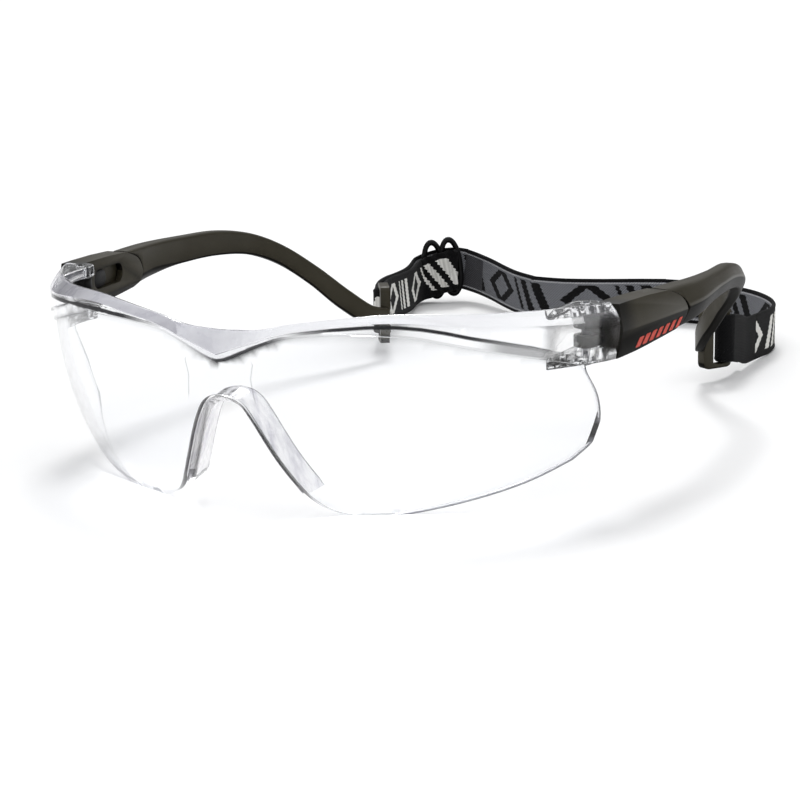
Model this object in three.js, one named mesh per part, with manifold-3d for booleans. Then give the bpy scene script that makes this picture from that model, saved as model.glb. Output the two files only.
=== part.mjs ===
// Sports protective goggles: a clear one-piece front, telescopic temples and an elastic retainer strap.
// Millimetres, +Z up. The lenses face -Y and stand on Z = 0; +X is the wearer's left temple.

import * as THREE from 'three';
import { mergeVertices } from 'three/addons/utils/BufferGeometryUtils.js';
import Module from 'manifold-3d';

const wasm = await Module();
wasm.setup();

// Driving dimensions.
const GAP = 0.3; // clearance between neighbouring pieces
const FRONT_Y = -132.91; // the lens sphere's foremost point in the part's own frame
const LENS_RADIUS = 75; // the front is cut from a spherical shell
const LENS_THICKNESS = 2.2;
const LENS_CENTRE = new THREE.Vector3(0, LENS_RADIUS, 39.3);
const BROW_RADIUS = 76; // outer face of the brow bar
const END_FACE = 50.3; // rear face of the front's two ends
const EAR_BOTTOM = { low: 31.6, high: 34.2 }; // heights of the hinge ears
const EAR_TOP = { low: 41.7, high: 44.3 };
const EAR_RADIUS = 3.2;
const PIN = { x: 64.6, y: 48.3, radius: 0.9 };
const BORE_RADIUS = PIN.radius + GAP;
const KNUCKLE_RADIUS = 2.6;
const FLARE = 5.4; // degrees that the temples open outwards
const SADDLE_THICKNESS = 1.6;
const SADDLE_DEPTH = 10;
const SLEEVE_FRONT = END_FACE + GAP;
const TONGUE = { inner: 3.2, outer: 5.7, low: 35.95, high: 41.65, front: 10 };
const EXTENSION = 8; // travel of the arm in its sleeve
const CATCH = { length: 6.4, height: 4.2, thickness: 0.8, travel: 0.5 };
const PLATE = {
  x: -30.2, y: 124.9, turn: -25.3, low: 3.6, high: 19.6, thickness: 2.6, bar: 9, barRadius: 1.35,
};
const SLOT = { near: 4, low: 4.6, high: 18.2 };
const STRAP_WIDTH = 12.8;
const STRAP_THICKNESS = 1.1;
const FOLD_RADIUS = PLATE.barRadius + GAP + 0.05 + STRAP_THICKNESS / 2; // webbing's middle around the bar
const FOLD_HEIGHT = 11.4;
const SLIDE = { x: -67.8, y: 260, z: 10.8, turn: 37.7, thickness: 1.8, height: 19, pitch: 3 };

const CLEAR = new THREE.MeshStandardMaterial({
  color: 0xeef3f6, roughness: 0.04, metalness: 0, transparent: true, opacity: 0.35,
});
const SOFT_CLEAR = new THREE.MeshStandardMaterial({
  color: 0xf3f1e2, roughness: 0.25, metalness: 0, transparent: true, opacity: 0.5,
});
const SATIN_OLIVE = new THREE.MeshStandardMaterial({ color: 0x2b2a22, roughness: 0.42, metalness: 0 });
const BLACK = new THREE.MeshStandardMaterial({ color: 0x141414, roughness: 0.5, metalness: 0 });
const STEEL = new THREE.MeshStandardMaterial({ color: 0x3a3a40, roughness: 0.3, metalness: 1 });
const WEBBING = new THREE.MeshStandardMaterial({ color: 0x6f7176, roughness: 0.9, metalness: 0 });

// Solids.

/** A closed geometry as a solid that can be joined and cut. */
function solid(geometry) {
  const bare = geometry.clone();
  bare.deleteAttribute('normal');
  bare.deleteAttribute('uv');
  const merged = mergeVertices(bare);
  return new wasm.Manifold(new wasm.Mesh({
    numProp: 3,
    vertProperties: merged.attributes.position.array,
    triVerts: Uint32Array.from(merged.index.array),
  }));
}

function geometryOf(manifold) {
  const mesh = manifold.getMesh();
  const geometry = new THREE.BufferGeometry();
  geometry.setAttribute('position', new THREE.BufferAttribute(mesh.vertProperties, 3));
  geometry.setIndex(new THREE.BufferAttribute(mesh.triVerts, 1));
  geometry.computeVertexNormals();
  return geometry;
}

function join(...geometries) {
  return geometryOf(geometries.map(solid).reduce((all, next) => all.add(next)));
}

function cut(geometry, ...tools) {
  return geometryOf(tools.map(solid).reduce((rest, tool) => rest.subtract(tool), solid(geometry)));
}

function common(...geometries) {
  return geometryOf(geometries.map(solid).reduce((all, next) => all.intersect(next)));
}

/** The same geometry on the other side of the plane X = 0. */
function mirrored(geometry) {
  const copy = geometry.index ? geometry.toNonIndexed() : geometry.clone();
  copy.scale(-1, 1, 1);
  const points = copy.attributes.position;
  const swap = new THREE.Vector3();
  for (let i = 0; i < points.count; i += 3) {
    swap.fromBufferAttribute(points, i + 1);
    points.setXYZ(i + 1, points.getX(i + 2), points.getY(i + 2), points.getZ(i + 2));
    points.setXYZ(i + 2, swap.x, swap.y, swap.z);
  }
  return copy;
}

function block(x0, x1, y0, y1, z0, z1) {
  return new THREE.BoxGeometry(x1 - x0, y1 - y0, z1 - z0)
    .translate((x0 + x1) / 2, (y0 + y1) / 2, (z0 + z1) / 2);
}

/** An upright round bar. */
function post(x, y, radius, low, high, segments = 24) {
  return new THREE.CylinderGeometry(radius, radius, high - low, segments)
    .rotateX(Math.PI / 2)
    .translate(x, y, (low + high) / 2);
}

function polygon(points) {
  return new THREE.Shape(points.map(([x, y]) => new THREE.Vector2(x, y)));
}

function smooth(points, divisions) {
  return new THREE.SplineCurve(points.map(([x, y]) => new THREE.Vector2(x, y))).getPoints(divisions);
}

/** A plan outline raised from one height to another. */
function raised(shape, low, high, curveSegments = 16) {
  return new THREE.ExtrudeGeometry(shape, { depth: high - low, bevelEnabled: false, curveSegments })
    .translate(0, 0, low);
}

/** An outline in X and Z drawn along +Y. */
function drawnBack(shape, near, far) {
  return new THREE.ExtrudeGeometry(shape, { depth: far - near, bevelEnabled: false })
    .rotateX(Math.PI / 2)
    .translate(0, far, 0);
}

/** An outline in Y and Z drawn along +X. */
function drawnAcross(shape, near, far) {
  return new THREE.ExtrudeGeometry(shape, { depth: far - near, bevelEnabled: false })
    .rotateX(Math.PI / 2)
    .rotateZ(Math.PI / 2)
    .translate(near, 0, 0);
}

/** A section, X to the path's left and Y up, drawn along a path; size scales the section along it. */
function sweep(section, path, steps, size = () => [1, 1]) {
  const geometry = new THREE.ExtrudeGeometry(section, { depth: 1, steps, bevelEnabled: false });
  const vertices = geometry.attributes.position;
  const upright = new THREE.Vector3(0, 0, 1);
  for (let i = 0; i < vertices.count; i += 1) {
    const along = THREE.MathUtils.clamp(vertices.getZ(i), 0, 1);
    const tangent = path.getTangentAt(along);
    const left = new THREE.Vector3().crossVectors(upright, tangent).normalize();
    const up = new THREE.Vector3().crossVectors(tangent, left);
    const [wide, high] = size(along);
    const point = path.getPointAt(along)
      .addScaledVector(left, vertices.getX(i) * wide)
      .addScaledVector(up, vertices.getY(i) * high);
    vertices.setXYZ(i, point.x, point.y, point.z);
  }
  return geometry;
}

// The front.

/** A solid ball about the lens sphere's centre, its poles up and down. */
function ball(radius, back = 0) {
  return new THREE.SphereGeometry(radius, 72, 48)
    .rotateX(Math.PI / 2)
    .translate(LENS_CENTRE.x, LENS_CENTRE.y + back, LENS_CENTRE.z);
}

/** An outline in degrees of azimuth and elevation, drawn outwards from the lens sphere's centre. */
function radialPrism(outline) {
  const inner = 60;
  const outer = 105;
  const geometry = new THREE.ExtrudeGeometry(outline, { depth: outer - inner, bevelEnabled: false });
  const vertices = geometry.attributes.position;
  for (let i = 0; i < vertices.count; i += 1) {
    const azimuth = THREE.MathUtils.degToRad(vertices.getX(i));
    const elevation = THREE.MathUtils.degToRad(vertices.getY(i));
    const radius = inner + vertices.getZ(i);
    vertices.setXYZ(
      i,
      LENS_CENTRE.x + radius * Math.cos(elevation) * Math.sin(azimuth),
      LENS_CENTRE.y - radius * Math.cos(elevation) * Math.cos(azimuth),
      LENS_CENTRE.z + radius * Math.sin(elevation),
    );
  }
  return geometry;
}

// The brow's top edge from the middle to the end, in degrees of azimuth and elevation.
const BROW_TOP = [[-1, 1.8], [7, 2.2], [13, 3.4], [23, 4.6], [31, 5], [44, 4.5], [58, 4.1], [74, 3.8]];
const BROW_BOTTOM = [
  [-1, -3.2], [2, -2.7], [9.5, 0.5], [16, 1.6], [24, 1.8], [32, 1.2], [42, -1], [54, -3.6], [64, -5.8],
];
const LENS_BOTTOM = [
  [-1, -31], [12, -31.2], [20.5, -32.2], [27, -32.3], [38.7, -30.6], [54.5, -27.2], [65.5, -23.6],
];
const LENS_TEMPLE = [[69.6, -20.4], [69.8, -16.4], [67.8, -11.6], [64.8, -7.6]];

/** One half of the lens, from the nose's middle to the temple. */
function lensOutline() {
  return new THREE.Shape([
    ...smooth(LENS_BOTTOM, 14),
    ...smooth(LENS_TEMPLE, 8),
    new THREE.Vector2(64, -5.9),
    new THREE.Vector2(74, -5.9),
    ...smooth(BROW_TOP, 14).reverse(),
  ]);
}

function browOutline() {
  return new THREE.Shape([
    ...smooth(BROW_BOTTOM, 16),
    new THREE.Vector2(74, -5.8),
    ...smooth(BROW_TOP, 14).reverse(),
  ]);
}

// The nose opening's edge, in X and Z, from its top to the foot of the lens.
const NOSE_EDGE = [
  [0, 27.6], [2.7, 27.1], [4.9, 25.6], [6.9, 22.3], [8.8, 18.3], [11, 13.4], [13.7, 8.1], [15.8, 4.6],
  [18.2, 2.2], [20.8, 0.8], [23.5, 0],
];

/** The nose edge moved inwards, on both sides of the middle, down to the given height. */
function noseCurve(inset, lowest) {
  const curve = new THREE.SplineCurve(NOSE_EDGE.map(([x, z]) => new THREE.Vector2(x, z)));
  const right = [];
  for (let i = 0; i <= 20; i += 1) {
    const point = curve.getPoint(i / 20);
    const tangent = i === 0 ? new THREE.Vector2(1, 0) : curve.getTangent(i / 20);
    right.push(new THREE.Vector2(point.x + tangent.y * inset, point.y - tangent.x * inset));
  }
  const kept = right.filter((point) => point.y >= lowest);
  kept[0].x = 0;
  return [...kept.slice(1).map((point) => new THREE.Vector2(-point.x, point.y)).reverse(), ...kept];
}

function noseCutter() {
  const curve = noseCurve(0, -50);
  return new THREE.Shape([new THREE.Vector2(-25, -8), ...curve, new THREE.Vector2(25, -8)].reverse());
}

/** Plan of a hinge ear, round about the pin. */
function earPlan() {
  const shape = new THREE.Shape();
  shape.moveTo(60.2, 35);
  shape.lineTo(76, 35);
  shape.lineTo(76, END_FACE);
  shape.lineTo(PIN.x + Math.sqrt(EAR_RADIUS ** 2 - (END_FACE - PIN.y) ** 2), END_FACE);
  shape.absarc(PIN.x, PIN.y, EAR_RADIUS, Math.asin((END_FACE - PIN.y) / EAR_RADIUS), Math.PI, false);
  shape.lineTo(PIN.x - EAR_RADIUS, 41.5);
  return shape;
}

function ear({ low, high }) {
  const plate = common(raised(earPlan(), low, high), ball(LENS_RADIUS - 0.4));
  return cut(plate, post(PIN.x, PIN.y, BORE_RADIUS, low - 1, high + 1));
}

function frontHalf() {
  const shell = cut(ball(LENS_RADIUS), ball(LENS_RADIUS - LENS_THICKNESS));
  const bar = cut(ball(BROW_RADIUS), ball(LENS_RADIUS - LENS_THICKNESS));
  const skin = join(
    common(shell, radialPrism(lensOutline())),
    common(bar, radialPrism(browOutline())),
  );
  const trimmed = cut(skin, block(40, 90, END_FACE, 90, 20, 60));
  return join(trimmed, ear(EAR_BOTTOM), ear(EAR_TOP));
}

function clearFront() {
  const half = frontHalf();
  const flat = block(-60, 60, -5, 60, -5, 0);
  return cut(join(half, mirrored(half)), drawnBack(noseCutter(), -10, 60), flat);
}

/** The soft arch that lines the nose opening, ten millimetres deep. */
function noseSaddle() {
  const outer = noseCurve(GAP + 0.05, 5);
  const inner = noseCurve(GAP + 0.05 + SADDLE_THICKNESS, 5);
  const band = drawnBack(new THREE.Shape([...outer, ...inner.reverse()].reverse()), -10, 60);
  return cut(common(band, ball(LENS_RADIUS)), ball(LENS_RADIUS, SADDLE_DEPTH));
}

// The temples, in a frame with its origin on the right pin and +Y along the temple.

/** Plan of the knuckle: round about the pin, with a tail that enters the sleeve. */
function knucklePlan(grow) {
  const radius = KNUCKLE_RADIUS + grow;
  const shape = new THREE.Shape();
  shape.moveTo(5.6 + grow, 3);
  shape.lineTo(5.6 + grow, 8.4 + grow);
  shape.lineTo(2.4 - grow, 8.4 + grow);
  shape.lineTo(-radius * Math.sin(1), radius * Math.cos(1));
  shape.absarc(0, 0, radius, Math.PI / 2 + 1, 2 * Math.PI, false);
  shape.lineTo(radius, 3);
  return shape;
}

const KNUCKLE_LOW = EAR_BOTTOM.high + GAP;
const KNUCKLE_HIGH = EAR_TOP.low - GAP;

function hingeKnuckle() {
  const whole = raised(knucklePlan(0), KNUCKLE_LOW, KNUCKLE_HIGH);
  const fork = block(-10, 10, -10, 2.6, KNUCKLE_LOW + 2.7, KNUCKLE_HIGH - 2.7);
  return cut(whole, fork, post(0, 0, BORE_RADIUS, 30, 46));
}

/** The sleeve's curved rear edge, from its foot to its top, moved back by grow. */
function sleeveRear(grow) {
  const line = [[32, 33.6], [35.2, 35], [36.4, 37.5], [33.8, 40.9], [27.5, 43.2]];
  return smooth(line.map(([y, z]) => [y + grow, z]), 12);
}

/** The sleeve's side outline, Y along the temple and Z up. */
function sleeveSide() {
  return new THREE.Shape([
    ...smooth([[-6, 31.7], [10, 31.9], [22, 32.7], [31, 33.5]], 8),
    ...sleeveRear(0),
    ...smooth([[18, 43.7], [8, 43.9], [-6, 43.9]], 4),
  ]);
}

/** The room that the sleeve's outline takes from the arm. */
function sleeveRoom(grow) {
  const rear = sleeveRear(grow).map(({ x, y }) => [x, y]);
  return polygon([[-10, 25], [32 + grow, 25], ...rear, [27.5 + grow, 50], [-10, 50]]);
}

/** The sleeve's section: flat inside with a sloping foot, two facets that meet in a ridge outside. */
function templeSection() {
  return polygon([[1.4, 34.6], [5.2, 28], [5.4, 28], [7.6, 37.6], [7.6, 38.4], [5.9, 48], [1.4, 48]]);
}

/** The sleeve's front face, upright and square to the front's end, in the temple's frame. */
function squareFront() {
  return block(-60, 60, -40, SLEEVE_FRONT - PIN.y, 0, 80).rotateZ(THREE.MathUtils.degToRad(FLARE));
}

function stadium(y0, y1, z0, z1) {
  const radius = (z1 - z0) / 2;
  const shape = new THREE.Shape();
  shape.absarc(y1 - radius, z0 + radius, radius, -Math.PI / 2, Math.PI / 2, false);
  shape.absarc(y0 + radius, z0 + radius, radius, Math.PI / 2, 1.5 * Math.PI, false);
  return shape;
}

function templeSleeve() {
  const body = common(drawnAcross(sleeveSide(), 0, 12), drawnBack(templeSection(), -8, 60));
  const pocket = block(
    TONGUE.inner - GAP, TONGUE.outer + GAP, TONGUE.front - 1, 60, TONGUE.low - GAP, TONGUE.high + GAP,
  );
  const reach = TONGUE.front + CATCH.length + EXTENSION + 2 * GAP;
  const window = drawnAcross(stadium(TONGUE.front - GAP, reach, 36.4, 41.2), 0, TONGUE.inner);
  const knuckleRoom = raised(knucklePlan(GAP), KNUCKLE_LOW - GAP, KNUCKLE_HIGH + GAP);
  return cut(body, squareFront(), post(0, 0, EAR_RADIUS + 0.5, 20, 60, 32), knuckleRoom, pocket, window);
}

// The arm behind the sleeve, in the temple's frame: its middle line, and half its height at each point.
const ARM_LINE = [
  [4.4, 24, 38.1], [4.5, 34, 38.15], [4.5, 46, 38.5], [2.4, 60.9, 38.9], [-0.8, 76.1, 38.4], [-4.4, 90.1, 36],
  [-9.4, 100.6, 31.4], [-16, 107.4, 25], [-22.2, 112.8, 18.2], [-27, 119, 13], [-29.7, 126, 11],
];
const ARM_HALF_HEIGHT = [5.05, 5, 4.4, 3.5, 3.25, 2.85, 2.6, 2.6, 2.8, 2.7, 2.6];

function armSection() {
  return polygon([
    [2.2, -0.9], [2.2, 0.9], [1.9, 1], [-0.9, 1], [-1.9, 0.5], [-2.4, 0], [-1.9, -0.5], [-0.9, -1], [1.9, -1],
  ]);
}

/** The slotted plate at the arm's end, with an upright bar for the strap. */
function tipPlate() {
  const { low, high, thickness, bar, barRadius } = PLATE;
  const end = bar + 1.3;
  const outline = polygon([
    [0.8, 7.4], [1.2, low + 1.4], [2.2, low + 0.3], [3.2, low], [end - 0.8, low], [end, low + 0.8],
    [end, high - 0.8], [end - 0.8, high], [4.4, high], [2.6, high - 0.9], [1.2, high - 3], [0.8, high - 5.2],
  ]);
  const plate = drawnAcross(outline, -thickness / 2, thickness / 2);
  const slot = block(-5, 5, SLOT.near, bar + 5, SLOT.low, SLOT.high);
  return join(cut(plate, slot), post(0, bar, barRadius, low, high, 20))
    .rotateZ(THREE.MathUtils.degToRad(PLATE.turn))
    .translate(PLATE.x, PLATE.y, 0);
}

function templeArm() {
  const points = ARM_LINE.map((point) => new THREE.Vector3(...point));
  const path = new THREE.CatmullRomCurve3(points);
  const heights = new THREE.SplineCurve(ARM_HALF_HEIGHT.map((half, i) => new THREE.Vector2(i, half)));
  const size = (along) => [1 - 0.25 * along, heights.getPoint(path.getUtoTmapping(along, 0)).y];
  const body = cut(sweep(armSection(), path, 32, size), drawnAcross(sleeveRoom(GAP + 0.1), -10, 20));
  const tongue = block(TONGUE.inner, TONGUE.outer, TONGUE.front, 44, TONGUE.low, TONGUE.high);
  return join(body, tongue, tipPlate());
}

function lengthCatch() {
  const middle = (36.4 + 41.2) / 2;
  const y0 = TONGUE.front + 0.1;
  const outline = stadium(y0, y0 + CATCH.length, middle - CATCH.height / 2, middle + CATCH.height / 2);
  const face = TONGUE.inner - CATCH.travel - 0.2 - CATCH.thickness;
  return drawnAcross(outline, face, face + CATCH.thickness);
}

function hingePin() {
  return post(PIN.x, PIN.y, PIN.radius, EAR_BOTTOM.low + 0.3, EAR_TOP.high - 0.3);
}

// The strap.

/** A point of the temple's frame in the front's frame. */
function templePoint(x, y) {
  return new THREE.Vector2(x, y)
    .rotateAround(new THREE.Vector2(), -THREE.MathUtils.degToRad(FLARE))
    .add(new THREE.Vector2(PIN.x, PIN.y));
}

const plateTurn = THREE.MathUtils.degToRad(PLATE.turn);
const BAR = templePoint(
  PLATE.x - PLATE.bar * Math.sin(plateTurn),
  PLATE.y + PLATE.bar * Math.cos(plateTurn),
);

function webbing(points, steps) {
  const path = new THREE.CatmullRomCurve3(points.map((point) => new THREE.Vector3(...point)));
  path.arcLengthDivisions = 800;
  const half = { x: STRAP_THICKNESS / 2, z: STRAP_WIDTH / 2 };
  const section = polygon([[-half.x, -half.z], [half.x, -half.z], [half.x, half.z], [-half.x, half.z]]);
  return sweep(section, path, steps);
}

/** Points of the webbing's middle around a bar, from one bearing to another, in degrees. */
function foldPoints(centre, from, to, height, count = 6) {
  const points = [];
  for (let i = 0; i <= count; i += 1) {
    const bearing = THREE.MathUtils.degToRad(from + ((to - from) * i) / count);
    const x = centre.x + FOLD_RADIUS * Math.cos(bearing);
    const y = centre.y + FOLD_RADIUS * Math.sin(bearing);
    points.push([x, y, height]);
  }
  return points;
}

const LEFT_BAR = new THREE.Vector2(-BAR.x, BAR.y);

const BAND_LEFT = [[8, 255.3, 6.6], [0, 253, 6.5], [-10.5, 248.3, 6.5], [-21, 245, 6.5], [-30, 245.2, 6.5]];
const TURN_LEFT = [
  [-30.7, 245.4, 6.5], [-37.6, 248.9, 7], [-44, 254, 7.5], [-51, 259.8, 8.3], [-57.5, 264.3, 9],
  [-62.5, 265.9, 9.8],
];
const LOOP_LEFT_RUN = [
  [-63.1, 265.8, 9.9], [-65.6, 264.3, 10.4], [-69.2, 261.5, 10.8], [-73.5, 258.3, 11], [-75, 254.4, 11.1],
  [-73.2, 248, 11.3], [-69.8, 237, 11.7], [-66.6, 223.5, 11.8], [-63.2, 210, 11.7], [-58.6, 196, 11.5],
];
const RETURN_LEFT = [
  [-66.4, 258.9, 10.9], [-69.3, 256.3, 11], [-71.6, 252.8, 11.1], [-71, 247.4, 11.3], [-67.6, 236.4, 11.7],
  [-64.5, 223, 11.8], [-61.2, 209.4, 11.7], [-56.4, 195.6, 11.5], [-51.8, 188.6, 11.4],
];

function strapLoopLeft() {
  return webbing([...LOOP_LEFT_RUN, ...foldPoints(LEFT_BAR, 170, 350, FOLD_HEIGHT)], 56);
}

const LOOP_RIGHT_RUN = [[51.2, 207, 7.2], [51.5, 199, 7.8], [52.3, 192, 9.6]];
const LOOP_RIGHT_TAIL = [[50.1, 190, 10], [49.95, 198, 8.2]];

function strapLoopRight() {
  return webbing([...LOOP_RIGHT_RUN, ...foldPoints(BAR, 10, -190, FOLD_HEIGHT), ...LOOP_RIGHT_TAIL], 44);
}

const BAND_RIGHT = [
  [51.15, 207.3, 7.2], [51.2, 214, 6.6], [51, 222, 6.5], [49.4, 230, 6.5], [45.6, 238, 6.5],
  [38.4, 246.4, 6.5], [29, 252.4, 6.5], [18.5, 255.6, 6.5], [8.3, 255.4, 6.5],
];

/** The figure-8 slide: two tall rings that share the middle bar. */
function strapSlide() {
  const ring = (x) => {
    const shape = new THREE.Shape();
    shape.absellipse(x, 0, SLIDE.pitch + 0.4, SLIDE.height / 2, 0, 2 * Math.PI, false);
    const hole = new THREE.Path();
    hole.absellipse(x, 0, SLIDE.pitch - 1.1, SLIDE.height / 2 - 1.9, 0, 2 * Math.PI, true);
    shape.holes.push(hole);
    return drawnBack(shape, -SLIDE.thickness / 2, SLIDE.thickness / 2);
  };
  return join(ring(-SLIDE.pitch), ring(SLIDE.pitch));
}

// The assembly.

function piece(name, geometry, material) {
  const mesh = new THREE.Mesh(geometry, material);
  mesh.name = name;
  return mesh;
}

/** One temple with its hinge, sleeve, arm and catch; side is 1 for +X and -1 for -X. */
function temple(side) {
  const label = side > 0 ? 'right' : 'left';
  const sided = (geometry) => (side > 0 ? geometry : mirrored(geometry));
  const group = new THREE.Group();
  group.position.set(side * PIN.x, PIN.y, 0);
  group.rotation.z = THREE.MathUtils.degToRad(-side * FLARE);
  group.add(piece(`hinge_knuckle_${label}`, sided(hingeKnuckle()), BLACK));
  group.add(piece(`temple_sleeve_${label}`, sided(templeSleeve()), SATIN_OLIVE));
  group.add(piece(`temple_arm_${label}`, sided(templeArm()), SATIN_OLIVE));
  group.add(piece(`length_catch_${label}`, sided(lengthCatch()), BLACK));
  return group;
}

function slideAtItsPlace() {
  const mesh = piece('strap_slide', strapSlide(), BLACK);
  mesh.position.set(SLIDE.x, SLIDE.y, SLIDE.z);
  mesh.rotation.z = THREE.MathUtils.degToRad(SLIDE.turn);
  return mesh;
}

function goggles() {
  const group = new THREE.Group();
  group.add(piece('clear_front', clearFront(), CLEAR));
  group.add(piece('nose_saddle', noseSaddle(), SOFT_CLEAR));
  group.add(piece('hinge_pin_right', hingePin(), STEEL));
  group.add(piece('hinge_pin_left', mirrored(hingePin()), STEEL));
  group.add(temple(1), temple(-1));
  group.add(piece('strap_band_left', webbing(BAND_LEFT, 12), WEBBING));
  group.add(piece('strap_turn_left', webbing(TURN_LEFT, 14), WEBBING));
  group.add(piece('strap_loop_left', strapLoopLeft(), WEBBING));
  group.add(piece('strap_return_left', webbing(RETURN_LEFT, 28), WEBBING));
  group.add(piece('strap_loop_right', strapLoopRight(), WEBBING));
  group.add(piece('strap_band_right', webbing(BAND_RIGHT, 22), WEBBING));
  group.add(slideAtItsPlace());
  group.position.y = FRONT_Y;
  return group;
}

export default goggles();
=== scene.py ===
"""Sports protective goggles: the looks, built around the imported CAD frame. Metres, +Z up, lenses face -Y."""

import math

import bmesh
import bpy
from mathutils import Matrix, Vector
from mathutils.geometry import delaunay_2d_cdt


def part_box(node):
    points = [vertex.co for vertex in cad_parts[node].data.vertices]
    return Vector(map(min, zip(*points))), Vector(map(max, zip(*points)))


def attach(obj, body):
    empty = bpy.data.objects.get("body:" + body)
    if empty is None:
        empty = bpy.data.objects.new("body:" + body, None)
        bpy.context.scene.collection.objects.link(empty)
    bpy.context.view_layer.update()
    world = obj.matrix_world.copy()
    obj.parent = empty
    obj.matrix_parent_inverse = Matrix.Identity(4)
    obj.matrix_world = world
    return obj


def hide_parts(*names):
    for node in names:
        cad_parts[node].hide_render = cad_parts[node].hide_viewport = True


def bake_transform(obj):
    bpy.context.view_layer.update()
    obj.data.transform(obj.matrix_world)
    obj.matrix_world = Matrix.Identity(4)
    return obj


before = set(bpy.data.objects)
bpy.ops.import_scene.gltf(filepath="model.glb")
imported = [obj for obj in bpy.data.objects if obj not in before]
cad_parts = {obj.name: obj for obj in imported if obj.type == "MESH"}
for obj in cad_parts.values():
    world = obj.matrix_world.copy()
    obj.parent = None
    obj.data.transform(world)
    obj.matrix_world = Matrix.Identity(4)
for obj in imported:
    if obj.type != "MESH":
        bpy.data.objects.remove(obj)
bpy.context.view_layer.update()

MM = 0.001

# ---- the design frame, in millimetres
# Shapes are written in the frame of part.mjs: the lens sphere's foremost point has Y = 0.
PIN_X, PIN_Y = 64.6, 48.3
_pin_low, _pin_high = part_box("hinge_pin_right")
SHIFT_Y = (_pin_low[1] + _pin_high[1]) / 2 / MM - PIN_Y

LENS_RADIUS, LENS_INNER = 75.0, 72.8
BROW_RADIUS, BROW_STEP_RADIUS, BROW_EDGE_RADIUS = 76.0, 75.5, 73.9
LENS_CENTRE_Z = 39.3
LENS_CENTRE = Vector((0, LENS_RADIUS, LENS_CENTRE_Z))
END_FACE = 50.3
# Where along the sleeve the painted shade on its front end gives way to the satin tone, in the row frame's
# metres.
FRONT_SHADE = ((52.0 + SHIFT_Y) * MM, (60.0 + SHIFT_Y) * MM)
FLARE = math.radians(5.4)
HALF_WIDTH, STRAP_THICKNESS = 6.4, 1.1
MOTIF_PERIOD = 0.034  # the webbing's woven motif repeats after this many metres


def at(x, y, z):
    """A point of the design frame, in the row frame's metres."""
    return Vector((x * MM, (y + SHIFT_Y) * MM, z * MM))


def temple_at(x, y, z, side=1):
    """A point of the right temple's own frame, or its mirror image, in the row frame's metres."""
    wide = PIN_X + x * math.cos(FLARE) + y * math.sin(FLARE)
    back = PIN_Y - x * math.sin(FLARE) + y * math.cos(FLARE)
    return at(side * wide, back, z)


def smoothstep(low, high, value):
    t = min(1.0, max(0.0, (value - low) / (high - low)))
    return t * t * (3 - 2 * t)


def lookup(table, value):
    """Straight-line lookup in [(key, value), ...] with rising keys."""
    if value <= table[0][0]:
        return table[0][1]
    for (k0, v0), (k1, v1) in zip(table, table[1:]):
        if value <= k1:
            return v0 + (v1 - v0) * (value - k0) / (k1 - k0)
    return table[-1][1]


def spline(points, count):
    """Catmull-Rom curve through points of any dimension, count pieces in all, ends included."""
    pts = [Vector(p) for p in points]
    ends = [pts[0] * 2 - pts[1], *pts, pts[-1] * 2 - pts[-2]]
    spans = len(pts) - 1
    result = []
    for i in range(count + 1):
        t = spans * i / count
        k = min(int(t), spans - 1)
        t -= k
        p0, p1, p2, p3 = ends[k:k + 4]
        result.append(
            0.5 * (2 * p1 + (p2 - p0) * t + (2 * p0 - 5 * p1 + 4 * p2 - p3) * t ** 2
                   + (3 * p1 - p0 - 3 * p2 + p3) * t ** 3)
        )
    return result


def runs_of(points):
    """How far along a line each of its points lies."""
    runs = [0.0]
    for a, b in zip(points, points[1:]):
        runs.append(runs[-1] + (b - a).length)
    return runs


def even(points, spacing):
    """The same line with its points at an even spacing."""
    lengths = runs_of(points)
    count = max(2, round(lengths[-1] / spacing))
    result, k = [], 0
    for i in range(count + 1):
        goal = lengths[-1] * i / count
        while k < len(points) - 2 and lengths[k + 1] < goal:
            k += 1
        t = (goal - lengths[k]) / (lengths[k + 1] - lengths[k])
        result.append(points[k].lerp(points[k + 1], t))
    return result


# ---- node materials


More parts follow.
